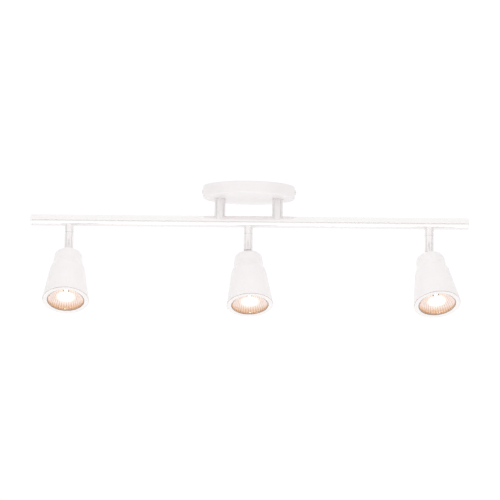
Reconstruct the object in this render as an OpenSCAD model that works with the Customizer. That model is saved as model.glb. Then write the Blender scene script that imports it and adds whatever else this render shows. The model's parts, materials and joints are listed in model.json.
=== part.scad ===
// Three-head ceiling light: a round canopy on a crossbar, two posts, a round
// bar and three bullet-shaped heads that turn and tilt, each with its lamp.
// Millimetres, +Z up. The origin is the centre of the ceiling plane, +X runs
// along the bar, and the heads face -Y. The heads are the left, middle and
// right ones as seen from the front.

/* [Canopy] */
// Diameter of the round canopy
canopy_d = 128; // [124:1:150]
// Height of the canopy's side wall
canopy_h = 16.5; // [16:0.5:19]
// Thickness of the canopy's sheet
canopy_wall = 1.2; // [0.8:0.1:1.5]
// Radius of the canopy's lower edge
canopy_edge_r = 2.5; // [1.5:0.1:4]

/* [Crossbar] */
// Width of the crossbar strip
crossbar_w = 20; // [18:1:22]
// Thickness of the crossbar strip
crossbar_t = 2; // [1.5:0.1:2.5]
// Distance between the centres of the two box-screw slots
slot_spacing = 88.9; // [88:0.1:90]
// Length of each box-screw slot, end to end
slot_l = 12; // [10:0.5:12]
// Distance between the two round box-screw holes
hole_spacing = 69.85; // [69:0.05:70]
// Diameter of the box-screw slots and holes
box_hole_d = 4.8; // [4.4:0.1:5]

/* [Posts] */
// Distance between the two posts
post_spacing = 80; // [76:1:84]
// Outer diameter of each post
post_d = 15.2; // [14:0.1:16]
// Outer diameter of the threaded tubes in the posts
nipple_d = 9.8; // [9.6:0.1:9.8]

/* [Bar] */
// Overall length of the bar with its end caps
bar_l = 608; // [580:1:640]
// Outer diameter of the bar
bar_d = 16.5; // [16:0.1:18]
// Wall of the bar's tube
bar_wall = 1; // [0.8:0.1:1.2]
// Height of the bar's centreline below the ceiling
bar_drop = 48.6; // [46:0.1:60]
// Thickness of the visible part of an end cap
end_cap_t = 2.5; // [2:0.5:4]

/* [Stems] */
// Distance between neighbouring heads
head_spacing = 250; // [230:1:260]
// Outer diameter of the stems and of the collars above them
stem_d = 12.7; // [12.4:0.1:14]
// Height of a collar below the bar
collar_h = 8.35; // [7:0.05:10]
// Depth of the stems' lower rims below the ceiling
stem_bottom = 88; // [84:0.1:92]
// Distance from a stem's rim down to the hinge
hinge_drop = 2.2; // [2:0.1:2.4]

/* [Heads] */
// Radius of the head at its mouth
mouth_r = 32.1; // [31.5:0.1:33]
// Radius of the cone where the shoulder starts
cone_r = 24.2; // [23.5:0.1:25]
// Height of the top of the cone above the mouth
cone_h = 50.5; // [49:0.5:52]
// Radius of the neck just above the shoulder
neck_r = 20.35; // [20:0.05:21]
// Height of the foot of the neck above the mouth
neck_h = 61.5; // [60:0.5:63]
// Radius of the neck where the crown starts
crown_r = 19.6; // [19.4:0.1:20]
// Height of the foot of the crown above the mouth
crown_h = 72.6; // [72:0.1:73]
// Radius of the flat top
top_r = 12; // [11:0.1:12.5]
// Height of the flat top above the mouth
top_h = 79.2; // [79:0.1:79.6]
// Thickness of the head's sheet
shade_wall = 1.2; // [1:0.1:1.3]
// Height by which the front ring stands out from the head's rim
ring_proud = 0.5; // [0.3:0.1:0.7]

/* [Aim] */
// Turn of the left, middle and right heads about their stems
pan = [5.4, 8.9, 12.3]; // [-170:0.1:170]
// Tilt of the left, middle and right heads from straight down
tilt = [30.3, 25.9, 30.7]; // [-55:0.1:55]

/* [Lamp] */
// Largest diameter of the lamp
lamp_d = 49.8; // [49:0.1:50]
// Distance between the centres of the lamp's two pins
pin_spacing = 10; // [10:0.1:10]
// Turn that frees the lamp from its socket
lock_turn = 20; // [15:1:25]

/* [Hidden] */
$fn = 96;
ARC_STEPS = 10;
SIDES = [-1, 1];
HEADS = [0, 1, 2];
HEAD_NAMES = ["left", "middle", "right"];
HEAD_PIECES = ["stem", "fork", "pivot_screws", "lug", "shade", "bezel", "socket_bracket",
    "socket", "head_fasteners", "bulb_base", "bulb_pins", "bulb_reflector",
    "bulb_capsule", "bulb_cover"];

// Finish colours
WHITE = [0.955, 0.94, 0.935];
STEEL = [0.72, 0.73, 0.74];
ZINC = [0.82, 0.83, 0.80];
BRASS = [0.80, 0.66, 0.36];
GREEN = [0.15, 0.45, 0.22];
CERAMIC = [0.93, 0.91, 0.87];
BLACK = [0.06, 0.06, 0.06];
WARM_MIRROR = [0.98, 0.78, 0.58];
CLEAR = [0.92, 0.94, 0.96, 0.4];

// Gaps: a piece screwed or pushed into another, and a turning shaft in its bore
FIT = 0.05;
LOOSE = 0.1;

// Canopy and crossbar
canopy_r = canopy_d / 2;
canopy_in_r = canopy_r - canopy_wall;
ear_x = canopy_in_r - 2.3;
ear_drop = 10.5;
side_screw_z = -7;
side_screw_r = 1.9;
side_head_r = 3.4;
side_head_t = 1.4;
ground_screw_x = 22;
ground_screw_r = 1.95;
block_size = [24, 14, 9];
pole_y = 3.6;
pole_x = 6;
wire_z = -6;

// Posts, bar and inserts
post_x = post_spacing / 2;
bar_r = bar_d / 2;
bar_in_r = bar_r - bar_wall;
tube_half = bar_l / 2 - end_cap_t;
nipple_r = nipple_d / 2;
nipple_bore_r = 3.5;
nipple_top = -9;
nut_t = 3;
nut_flats = 14;
insert_l = 18;
upper_insert_z = 2;
lower_insert_z = -3.2;
head_x = [-head_spacing, 0, head_spacing];

// Wires
wire_r = 0.9;
wire_gap = 1.3;
wire_bend = 3;
wire_end = -84;
fan_run = post_x - block_size[0] / 2;
fan = atan((pole_y - wire_gap) / fan_run);

// Stem, collar and hinge
stem_r = stem_d / 2;
stem_in_r = stem_r - 1;
rim_chamfer_w = 0.3;
rim_chamfer_h = 0.45;
collar_bottom = -bar_drop - bar_r - collar_h;
stem_top = collar_bottom - 0.15;
stem_floor = stem_top - 4.5;
spigot_r = 4.9;
shaft_r = 3.4;
shaft_bore_r = 2.5;
flare_r = 4.6;
flare_t = 1;
hinge_z = -stem_bottom - hinge_drop;
fork_r = stem_in_r - FIT;
fork_round = 4.2;
fork_in_x = 3.45;
fork_out_x = 4.9;
plug_drop = 4.3;
plug_h = 6;
lug_round = 3.9;
lug_in_x = 1.95;
lug_out_x = 3.25;
pivot_r = 1.3;

// Head, measured up from the mouth
hinge_h = 85.8;
stud_r = 3.3;
stud_bore_r = 2;
stud_end = 71.6;
bracket_h = 74.8;
bracket_t = 1.5;
bracket_half = 12.5;
bracket_w = 10;
socket_r = 14;
socket_h = 46.8;
socket_top = 63;
socket_screw_x = 8.3;
lead_gap = 1;
lead_r = 0.85;

// Lamp, measured up from the mouth
lamp_r = lamp_d / 2;
lamp_front = 0.8;
rim_h = 4;
bowl_end = 34;
bowl_neck_r = 8.5;
bowl_wall = 1.5;
bowl_top = 38;
base_top = 46.4;
base_r = 11;
base_neck_r = 8.25;
pin_r = 1.2;
pin_head_r = 2.45;
pin_head_h = 49.9;
pin_head_t = 2.5;
lip_top = 49.3;
pocket_top = 55;
pin_gap = 0.4;
capsule_r = 4.2;
capsule_front = 12;

// Outlines

function bezier(a, b, c, d, t) =
    pow(1 - t, 3) * a + 3 * pow(1 - t, 2) * t * b + 3 * (1 - t) * t * t * c + pow(t, 3) * d;

// The head's outline from its rim to the flat top, set in by a wall
function shade_outline(inset) = concat(
    [for (p = [[0.5, 0], [0.22, 0.12], [0.15, 0.4]]) [mouth_r - inset - p[0], ring_proud + p[1]]],
    [for (i = [0:ARC_STEPS])
        bezier([cone_r - inset, cone_h], [cone_r - 0.75 - inset, cone_h + 4.6],
               [neck_r + 0.35 - inset, neck_h - 4.8], [neck_r - inset, neck_h], i / ARC_STEPS)],
    [for (i = [0:ARC_STEPS])
        [top_r + (crown_r - top_r - inset) * cos(90 * i / ARC_STEPS),
         crown_h + (top_h - crown_h - inset) * sin(90 * i / ARC_STEPS)]]);

// The lamp's reflector is a paraboloid behind a short straight rim
function bowl_radius(h, inset) =
    sqrt(pow(bowl_neck_r, 2) + (pow(lamp_r, 2) - pow(bowl_neck_r, 2))
         * (bowl_end - h) / (bowl_end - rim_h)) - inset;
function bowl_outline(inset) =
    [for (i = [0:ARC_STEPS]) let (h = rim_h + (bowl_end - rim_h) * i / ARC_STEPS)
        [bowl_radius(h, inset), h]];

// Helpers

module tube(r, bore, h) {
    difference() {
        cylinder(h = h, r = r);
        translate([0, 0, -1]) cylinder(h = h + 2, r = bore);
    }
}

module along_x() rotate([0, 90, 0]) children();

module hex_nut(flats, bore, h) {
    difference() {
        cylinder(h = h, d = flats / cos(30), $fn = 6);
        translate([0, 0, -1]) cylinder(h = h + 2, r = bore);
    }
}

// A slot that runs along X through the crossbar
module box_slot() {
    translate([0, 0, -crossbar_t - 1]) {
        for (s = SIDES) translate([s * (slot_l - box_hole_d) / 2, 0, 0])
            cylinder(h = crossbar_t + 2, d = box_hole_d);
        translate([-(slot_l - box_hole_d) / 2, -box_hole_d / 2, 0])
            cube([slot_l - box_hole_d, box_hole_d, crossbar_t + 2]);
    }
}

// Places its children in a stem's frame, turned with the stem
module at_stem(i) translate([head_x[i], 0, 0]) rotate([0, 0, pan[i]]) children();

// Places its children in a head's frame: mouth at zero, hinge along X
module at_head(i) {
    translate([head_x[i], 0, hinge_z]) rotate([-tilt[i], 0, pan[i]])
        translate([0, 0, -hinge_h]) children();
}

// Canopy and its fixings

module canopy() color(WHITE) {
    edge = [for (i = [0:ARC_STEPS]) let (a = 90 * i / ARC_STEPS)
        [canopy_r - canopy_edge_r * (1 - cos(a)),
         -canopy_h + canopy_edge_r * (1 - sin(a))]];
    difference() {
        rotate_extrude() polygon(concat([[0, 0], [canopy_r, 0]], edge, [[0, -canopy_h]]));
        translate([0, 0, -canopy_h + canopy_wall])
            cylinder(h = canopy_h + 1, r = canopy_in_r);
        for (s = SIDES) {
            translate([s * post_x, 0, -canopy_h - 1])
                cylinder(h = canopy_wall + 2, r = nipple_r + 2 * LOOSE);
            translate([s * canopy_r - 3, 0, side_screw_z]) along_x()
                cylinder(h = 6, r = side_screw_r + 3 * LOOSE);
        }
    }
}

module crossbar() color(ZINC) difference() {
    union() {
        translate([-ear_x, -crossbar_w / 2, -crossbar_t])
            cube([2 * ear_x, crossbar_w, crossbar_t]);
        for (s = SIDES) translate([s * (ear_x - crossbar_t / 2), 0, -ear_drop / 2])
            cube([crossbar_t, crossbar_w, ear_drop], center = true);
    }
    for (s = SIDES) {
        translate([s * slot_spacing / 2, 0, 0]) box_slot();
        translate([s * hole_spacing / 2, 0, -crossbar_t - 1])
            cylinder(h = crossbar_t + 2, d = box_hole_d);
        translate([s * ear_x - 3, 0, side_screw_z]) along_x()
            cylinder(h = 6, r = side_screw_r + FIT);
    }
    translate([ground_screw_x, 0, -crossbar_t - 1])
        cylinder(h = crossbar_t + 2, r = ground_screw_r + FIT);
}

module canopy_screws() color(WHITE) for (s = SIDES) mirror([s < 0 ? 1 : 0, 0, 0]) {
    translate([ear_x - 4, 0, side_screw_z]) along_x()
        cylinder(h = canopy_r - ear_x + 4.1, r = side_screw_r);
    translate([canopy_r + FIT, 0, side_screw_z]) along_x() difference() {
        rotate_extrude() polygon([[0, 0], [side_head_r, 0], [side_head_r, side_head_t - 0.6],
            [side_head_r - 0.5, side_head_t - 0.1], [side_head_r - 1, side_head_t],
            [0, side_head_t]]);
        translate([-0.4, -side_head_r, side_head_t - 0.7]) cube([0.8, 2 * side_head_r, 1]);
    }
}

module ground_screw() color(GREEN) translate([ground_screw_x, 0, -crossbar_t]) {
    cylinder(h = crossbar_t, r = ground_screw_r);
    mirror([0, 0, 1]) difference() {
        cylinder(h = 2.6, r = 4);
        translate([-0.5, -5, 1.6]) cube([1, 10, 2]);
    }
}

module terminal_block() color(CERAMIC) difference() {
    translate([-block_size[0] / 2, -block_size[1] / 2, -crossbar_t - block_size[2]])
        cube(block_size);
    for (x = SIDES, y = SIDES) {
        translate([x * pole_x, y * pole_y, -crossbar_t - block_size[2] - 1])
            cylinder(h = 4, r = 1.7);
        translate([x * block_size[0] / 2 - 3.5, y * pole_y, wire_z]) along_x()
            cylinder(h = 7, r = wire_r + 0.4);
    }
}

// Posts

module post(x) color(WHITE) translate([x, 0, 0]) difference() {
    translate([0, 0, -bar_drop]) cylinder(h = bar_drop - canopy_h, r = post_d / 2);
    translate([0, 0, -bar_drop - 1]) cylinder(h = bar_drop, r = nipple_r + FIT);
    translate([-post_d, 0, -bar_drop]) along_x() cylinder(h = 2 * post_d, r = bar_r);
}

module left_post() post(-post_x);

module right_post() post(post_x);

module post_nipples() color(ZINC) for (s = SIDES)
    translate([s * post_x, 0, -bar_drop + upper_insert_z])
        tube(nipple_r, nipple_bore_r, nipple_top + bar_drop - upper_insert_z);

module post_nuts() color(ZINC) for (s = SIDES)
    translate([s * post_x, 0, -canopy_h + canopy_wall])
        hex_nut(nut_flats, nipple_r + FIT, nut_t);

// Bar

module bar_tube() color(WHITE) translate([0, 0, -bar_drop]) difference() {
    translate([-tube_half, 0, 0]) along_x() tube(bar_r, bar_in_r, 2 * tube_half);
    for (s = SIDES) translate([s * post_x, 0, 0]) cylinder(h = bar_d, r = nipple_r + LOOSE);
    for (x = head_x) translate([x, 0, -bar_d]) cylinder(h = bar_d, r = spigot_r + LOOSE);
}

module end_cap(side) color(WHITE)
    translate([side * tube_half, 0, -bar_drop]) mirror([side < 0 ? 1 : 0, 0, 0]) along_x()
        rotate_extrude() polygon([[0, -6], [bar_in_r - FIT, -6], [bar_in_r - FIT, 0],
            [bar_r, 0], [bar_r, end_cap_t - 0.8], [bar_r - 0.25, end_cap_t - 0.25],
            [bar_r - 0.8, end_cap_t], [0, end_cap_t]]);

module left_end_cap() end_cap(-1);

module right_end_cap() end_cap(1);

// Saddle blocks in the tube: the posts screw into the upper ones, the collars
// into the lower ones, and the wires run between them
module bar_inserts() color(ZINC) translate([0, 0, -bar_drop]) {
    for (s = SIDES) translate([s * post_x, 0, 0]) difference() {
        intersection() {
            translate([-insert_l / 2, 0, 0]) along_x() cylinder(h = insert_l, r = bar_in_r - FIT);
            translate([-insert_l, -bar_r, upper_insert_z]) cube([2 * insert_l, bar_d, bar_r]);
        }
        cylinder(h = bar_r, r = nipple_r + FIT);
    }
    for (x = head_x) translate([x, 0, 0]) difference() {
        intersection() {
            translate([-insert_l / 2, 0, 0]) along_x() cylinder(h = insert_l, r = bar_in_r - FIT);
            translate([-insert_l, -bar_r, lower_insert_z - bar_r]) cube([2 * insert_l, bar_d, bar_r]);
        }
        translate([0, 0, -bar_r]) cylinder(h = bar_r, r = spigot_r + FIT);
    }
}

// A wire's quarter bend from straight up to along +X
module wire_elbow() translate([wire_bend, 0, 0]) rotate([90, 0, 0]) rotate([0, 0, 90])
    rotate_extrude(angle = 90) translate([wire_bend, 0]) circle(r = wire_r, $fn = 32);

// One wire: along the bar, down into each stem and up the left post's bore to
// the terminal block
module wire(side) {
    run = head_spacing - wire_bend;
    translate([0, side * wire_gap, -bar_drop]) {
        translate([-run, 0, 0]) along_x() cylinder(h = 2 * run, r = wire_r, $fn = 32);
        for (s = SIDES) translate([s * head_spacing, 0, -wire_bend])
            mirror([s > 0 ? 1 : 0, 0, 0]) wire_elbow();
    }
    for (i = HEADS) {
        top = -bar_drop - (i == 1 ? 0 : wire_bend);
        translate([head_x[i], side * wire_gap, wire_end])
            cylinder(h = top - wire_end, r = wire_r, $fn = 32);
    }
    translate([-post_x, side * wire_gap, 0]) rotate([0, 0, side * fan]) {
        translate([0, 0, -bar_drop])
            cylinder(h = bar_drop + wire_z - wire_bend, r = wire_r, $fn = 32);
        translate([0, 0, wire_z - wire_bend]) wire_elbow();
        translate([wire_bend, 0, wire_z]) along_x()
            cylinder(h = fan_run - wire_bend + 2, r = wire_r, $fn = 32);
    }
}

module live_wire() color(BLACK) wire(1);

module neutral_wire() color(WHITE) wire(-1);

// Collars and stems

// A collar's sleeve butts on the bar and its spigot screws into the insert
module collar(i) color(WHITE) translate([head_x[i], 0, 0]) difference() {
    union() {
        difference() {
            translate([0, 0, collar_bottom]) cylinder(h = collar_h + bar_r, r = stem_r);
            translate([-bar_d, 0, -bar_drop]) along_x() cylinder(h = 2 * bar_d, r = bar_r);
        }
        translate([0, 0, collar_bottom + 1])
            cylinder(h = -bar_drop + lower_insert_z - collar_bottom - 1, r = spigot_r);
    }
    translate([0, 0, collar_bottom - 1]) cylinder(h = 30, r = shaft_r + FIT);
}

// A stem hangs by the flared end of its hollow shaft on the collar's spigot.
// Its rim is chamfered inside, where the hinge's ears come up at full tilt
module stem(i) color(WHITE) at_stem(i) {
    flare_z = -bar_drop + lower_insert_z + 0.3;
    difference() {
        union() {
            translate([0, 0, -stem_bottom]) cylinder(h = stem_bottom + stem_top, r = stem_r);
            translate([0, 0, stem_top - 1]) cylinder(h = flare_z - stem_top + 1.5, r = shaft_r);
            translate([0, 0, flare_z]) cylinder(h = flare_t, r = flare_r);
        }
        translate([0, 0, -stem_bottom - 1])
            cylinder(h = stem_bottom + stem_floor + 1, r = stem_in_r);
        translate([0, 0, -stem_bottom - rim_chamfer_h])
            cylinder(h = 2 * rim_chamfer_h, r1 = stem_in_r + 2 * rim_chamfer_w, r2 = stem_in_r);
        translate([0, 0, stem_floor - 1]) cylinder(h = 30, r = shaft_bore_r);
    }
}

// A fork is a plug in the stem's rim with two cheeks, rounded about the hinge
module fork(i) color(ZINC) at_stem(i) translate([0, 0, hinge_z]) difference() {
    union() {
        translate([0, 0, plug_drop]) tube(fork_r, shaft_bore_r + LOOSE, plug_h);
        for (s = SIDES) mirror([s < 0 ? 1 : 0, 0, 0]) intersection() {
            translate([0, 0, -stem_r]) cylinder(h = stem_r + plug_drop + 1, r = fork_r);
            union() {
                translate([fork_in_x, 0, 0]) along_x()
                    cylinder(h = fork_out_x - fork_in_x, r = fork_round);
                translate([fork_in_x, -stem_r, 0])
                    cube([fork_out_x - fork_in_x, 2 * stem_r, plug_drop + 1]);
            }
        }
    }
    translate([-stem_r, 0, 0]) along_x() cylinder(h = stem_d, r = pivot_r + FIT);
}

// Two stub screws leave the middle of the hinge free for the wires
module pivot_screws(i) color(STEEL) at_stem(i) translate([0, 0, hinge_z])
    for (s = SIDES) mirror([s < 0 ? 1 : 0, 0, 0]) {
        translate([lug_in_x + 0.1, 0, 0]) along_x()
            cylinder(h = fork_out_x - lug_in_x, r = pivot_r);
        translate([fork_out_x + 0.02, 0, 0]) along_x() difference() {
            cylinder(h = 0.7, r = 1.9);
            translate([-0.2, -2, 0.4]) cube([0.4, 4, 1]);
        }
    }

// Heads

// A lug has two ears on a hollow stud that goes through the head's top
module lug(i) color(ZINC) at_head(i) difference() {
    union() {
        for (s = SIDES) mirror([s < 0 ? 1 : 0, 0, 0]) {
            translate([lug_in_x, 0, hinge_h]) along_x()
                cylinder(h = lug_out_x - lug_in_x, r = lug_round);
            translate([lug_in_x, -lug_round, top_h])
                cube([lug_out_x - lug_in_x, 2 * lug_round, hinge_h - top_h]);
        }
        translate([-lug_out_x, -lug_round, top_h]) cube([2 * lug_out_x, 2 * lug_round, 0.6]);
        translate([0, 0, stud_end]) cylinder(h = top_h - stud_end + 0.3, r = stud_r);
    }
    translate([0, 0, stud_end - 1]) cylinder(h = 10, r = stud_bore_r);
    translate([-stem_r, 0, hinge_h]) along_x() cylinder(h = stem_d, r = pivot_r + FIT);
}

module shade(i) color(WHITE) at_head(i) difference() {
    rotate_extrude() polygon(concat([[0, ring_proud]], shade_outline(0), [[0, top_h]]));
    rotate_extrude() polygon(concat([[0, -1], [mouth_r - shade_wall, -1]],
        shade_outline(shade_wall), [[0, top_h - shade_wall]]));
    translate([0, 0, top_h - 3]) cylinder(h = 5, r = stud_r + LOOSE);
}

// The front ring lies on the head's rim, and its skirt snaps into the head with
// a bead near its upper edge
module bezel(i) color(WHITE) at_head(i) rotate_extrude() polygon([
    [lamp_r + 0.5, 0.2], [lamp_r + 0.7, 0], [mouth_r - 1.05, 0], [mouth_r - 0.85, 0.2],
    [mouth_r - 0.85, ring_proud - FIT], [mouth_r - 1.7, ring_proud - FIT],
    [mouth_r - 1.7, 1.5], [mouth_r - 3.1, 1.7], [mouth_r - 3.1, 5.8], [mouth_r - 2.5, 6.4],
    [mouth_r - 3.1, 7], [mouth_r - 3.1, 7.5], [mouth_r - 4.1, 7.5], [mouth_r - 4.1, 1.7],
    [lamp_r + 1.5, 1.7], [lamp_r + 1.5, 3], [lamp_r + 0.5, 3]]);

// A U of strip between the stud and the back of the socket
module socket_bracket(i) color(ZINC) at_head(i) difference() {
    foot_l = bracket_half - 5;
    union() {
        translate([-bracket_half, -bracket_w / 2, bracket_h])
            cube([2 * bracket_half, bracket_w, bracket_t]);
        for (s = SIDES) mirror([s < 0 ? 1 : 0, 0, 0]) {
            translate([bracket_half - bracket_t, -bracket_w / 2, socket_top])
                cube([bracket_t, bracket_w, bracket_h - socket_top + 0.5]);
            translate([bracket_half - foot_l, -bracket_w / 2, socket_top])
                cube([foot_l, bracket_w, bracket_t]);
        }
    }
    translate([0, 0, bracket_h - 1]) cylinder(h = 4, r = stud_r + LOOSE);
    for (s = SIDES) translate([s * socket_screw_x, 0, socket_top - 1])
        cylinder(h = 4, r = 1.6);
}

// One curved keyhole slot for a lamp pin, wide behind the lip
module pin_slot() {
    reach = pin_spacing / 2;
    neck = pin_r + pin_gap;
    pocket = pin_head_r + pin_gap;
    translate([0, 0, socket_h - 1]) rotate([0, 0, -lock_turn]) rotate_extrude(angle = lock_turn)
        translate([reach - neck, 0]) square([2 * neck, lip_top - socket_h + 2]);
    translate([0, 0, lip_top]) rotate([0, 0, -lock_turn]) rotate_extrude(angle = lock_turn)
        translate([reach - pocket, 0]) square([2 * pocket, pocket_top - lip_top]);
    translate([reach, 0, socket_h - 1]) cylinder(h = lip_top - socket_h + 2, r = neck);
    for (a = [0, -lock_turn]) rotate([0, 0, a]) translate([reach, 0, lip_top])
        cylinder(h = pocket_top - lip_top, r = pocket);
    rotate([0, 0, -lock_turn]) translate([reach, 0, socket_h - 1])
        cylinder(h = lip_top - socket_h + 2, r = pocket);
}

// The socket and the two leads that are fixed in its back
module socket(i) color(CERAMIC) at_head(i) {
    difference() {
        union() {
            translate([0, 0, socket_h]) cylinder(h = socket_top - socket_h - 4, r = socket_r);
            translate([0, 0, socket_top - 5]) cylinder(h = 5, r = socket_r - 1);
        }
        for (a = [0, 180]) rotate([0, 0, a]) pin_slot();
        for (s = SIDES) translate([s * socket_screw_x, 0, socket_top - 6])
            cylinder(h = 7, r = 1.5);
    }
    for (s = SIDES) translate([0, s * lead_gap, socket_top - 1])
        cylinder(h = top_h + 1 - socket_top, r = lead_r, $fn = 32);
}

// Lock nut, bracket nut and the two socket screws
module head_fasteners(i) color(STEEL) at_head(i) {
    translate([0, 0, bracket_h + bracket_t])
        hex_nut(10, stud_r + FIT, top_h - shade_wall - bracket_h - bracket_t);
    translate([0, 0, bracket_h - 3]) hex_nut(10, stud_r + FIT, 3);
    for (s = SIDES) translate([s * socket_screw_x, 0, 0]) {
        translate([0, 0, socket_top - 5]) cylinder(h = 5 + bracket_t, r = 1.45);
        translate([0, 0, socket_top + bracket_t]) difference() {
            cylinder(h = 1.8, r = 2.7);
            translate([-0.35, -3, 1]) cube([0.7, 6, 1]);
        }
    }
}

// Lamps

module bulb_base(i) color(CERAMIC) at_head(i) difference() {
    union() {
        translate([0, 0, bowl_end + 0.3]) cylinder(h = 7, r = base_r);
        translate([0, 0, bowl_end + 7]) cylinder(h = base_top - bowl_end - 7, r = base_neck_r);
    }
    translate([0, 0, bowl_end - 1]) cylinder(h = bowl_top - bowl_end + 1.1, r = bowl_neck_r + FIT);
    translate([-3.5, -2, bowl_end]) cube([7, 4, 7.2]);
    for (s = SIDES) translate([s * pin_spacing / 2, 0, base_top - 2.5])
        cylinder(h = 4, r = pin_r + FIT);
}

module bulb_pins(i) color(STEEL) at_head(i) for (s = SIDES)
    translate([s * pin_spacing / 2, 0, 0]) {
        translate([0, 0, base_top - 2.4]) cylinder(h = pin_head_h + 2.5 - base_top, r = pin_r);
        translate([0, 0, pin_head_h]) cylinder(h = pin_head_t, r = pin_head_r);
    }

module bulb_reflector(i) color(WARM_MIRROR) at_head(i) difference() {
    rotate_extrude() polygon(concat([[0, lamp_front], [lamp_r - 0.4, lamp_front],
        [lamp_r, lamp_front + 0.4]], bowl_outline(0), [[bowl_neck_r, bowl_top], [0, bowl_top]]));
    rotate_extrude() polygon(concat([[0, 0], [lamp_r - 1.2, 0],
        [lamp_r - 1.2, rim_h - 0.9], [lamp_r - bowl_wall - 0.2, rim_h - 0.9]],
        bowl_outline(bowl_wall), [[bowl_neck_r - bowl_wall, bowl_top + 1], [0, bowl_top + 1]]));
}

module bulb_capsule(i) color(CLEAR) at_head(i) {
    translate([0, 0, capsule_front + capsule_r])
        cylinder(h = 28 - capsule_front - capsule_r, r = capsule_r);
    translate([0, 0, capsule_front + capsule_r]) sphere(r = capsule_r);
    translate([-3.2, -1.5, 27]) cube([6.4, 3, 14]);
}

module bulb_cover(i) color(CLEAR) at_head(i) rotate_extrude()
    polygon([[0, 1.2], [lamp_r - 1.9, 1.2], [lamp_r - 1.3, 1.6], [lamp_r - 1.3, rim_h - 1],
        [0, rim_h - 1]]);

canopy();
crossbar();
canopy_screws();
ground_screw();
terminal_block();
left_post();
right_post();
post_nipples();
post_nuts();
bar_tube();
left_end_cap();
right_end_cap();
bar_inserts();
live_wire();
neutral_wire();
for (i = HEADS) {
    side = HEAD_NAMES[i];
    collar(i);
    stem(i);
    fork(i);
    pivot_screws(i);
    lug(i);
    shade(i);
    bezel(i);
    socket_bracket(i);
    socket(i);
    head_fasteners(i);
    bulb_base(i);
    bulb_pins(i);
    bulb_reflector(i);
    bulb_capsule(i);
    bulb_cover(i);
}
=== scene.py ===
# A three-head ceiling spotlight bar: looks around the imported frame, in metres.
import json
import math

import bpy
from mathutils import Matrix, Vector


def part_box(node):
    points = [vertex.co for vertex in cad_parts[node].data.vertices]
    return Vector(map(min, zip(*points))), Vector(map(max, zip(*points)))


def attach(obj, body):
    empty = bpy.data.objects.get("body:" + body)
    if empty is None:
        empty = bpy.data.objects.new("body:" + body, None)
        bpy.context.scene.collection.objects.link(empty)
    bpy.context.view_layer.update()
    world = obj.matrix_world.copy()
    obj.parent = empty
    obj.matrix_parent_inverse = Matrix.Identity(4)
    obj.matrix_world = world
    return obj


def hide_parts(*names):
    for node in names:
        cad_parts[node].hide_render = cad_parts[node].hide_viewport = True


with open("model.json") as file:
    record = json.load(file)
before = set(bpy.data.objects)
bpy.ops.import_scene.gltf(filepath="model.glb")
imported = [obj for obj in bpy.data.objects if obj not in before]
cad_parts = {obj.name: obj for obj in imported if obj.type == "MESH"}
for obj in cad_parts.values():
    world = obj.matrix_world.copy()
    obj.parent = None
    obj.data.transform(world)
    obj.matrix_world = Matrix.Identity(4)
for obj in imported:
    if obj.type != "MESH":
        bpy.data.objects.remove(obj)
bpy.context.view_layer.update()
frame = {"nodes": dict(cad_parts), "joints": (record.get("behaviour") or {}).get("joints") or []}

HEADS = ("left", "middle", "right")
MM = 0.001

# Camera: a long lens a little to the right of and below the fixture, slightly rolled
CAMERA_DISTANCE = 2.5
CAMERA_TURN = math.radians(3.0)
CAMERA_BELOW = math.radians(6.24)
CAMERA_ROLL = math.radians(0.93)
CAMERA_LENS = 129.9
SENSOR = 36.0
AIM_POINT = Vector((2.7, 0.0, -87.8)) * MM


# ---------------------------------------------------------------- small helpers

def joint(name):
    """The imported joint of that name."""
    return next(j for j in frame["joints"] if j["name"] == name)


def head_matrix(head):
    """A head's own frame: origin at the mouth's centre, +Z up the head, +X along its hinge."""
    twist = joint(f"{head}_lamp_twist")
    up = -Vector(twist["axis"])
    hinge = -Vector(joint(f"{head}_tilt")["axis"])
    matrix = Matrix((hinge, up.cross(hinge), up)).transposed().to_4x4()
    matrix.translation = Vector(twist["pos_m"])
    return matrix


def local_extent(node, matrix):
    """A node's largest radius and its lowest and highest point in a local frame."""
    inverse = matrix.inverted()
    points = [inverse @ v.co for v in frame["nodes"][node].data.vertices]
    heights = [p.z for p in points]
    return max(p.xy.length for p in points), min(heights), max(heights)


def new_object(name, verts, faces, matrix=None, smooth=True):
    """A mesh object whose own frame is matrix."""
    mesh = bpy.data.meshes.new(name)
    mesh.from_pydata([tuple(v) for v in verts], [], faces)
    mesh.validate()
    if smooth:
        mesh.polygons.foreach_set("use_smooth", [True] * len(mesh.polygons))
    obj = bpy.data.objects.new(name, mesh)
    bpy.context.scene.collection.objects.link(obj)
    if matrix is not None:
        obj.matrix_world = matrix
    return obj


def shade_by_angle(obj, degrees):
    """Keeps edges sharper than an angle crisp and smooths the rest."""
    obj.data.set_sharp_from_angle(angle=math.radians(degrees))


def bevel(obj, width, segments=2, angle=35):
    """Rounds the edges that are sharper than an angle."""
    modifier = obj.modifiers.new("Rounded edges", "BEVEL")
    modifier.width = width
    modifier.segments = segments
    modifier.limit_method = "ANGLE"
    modifier.angle_limit = math.radians(angle)
    modifier.harden_normals = True


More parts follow.
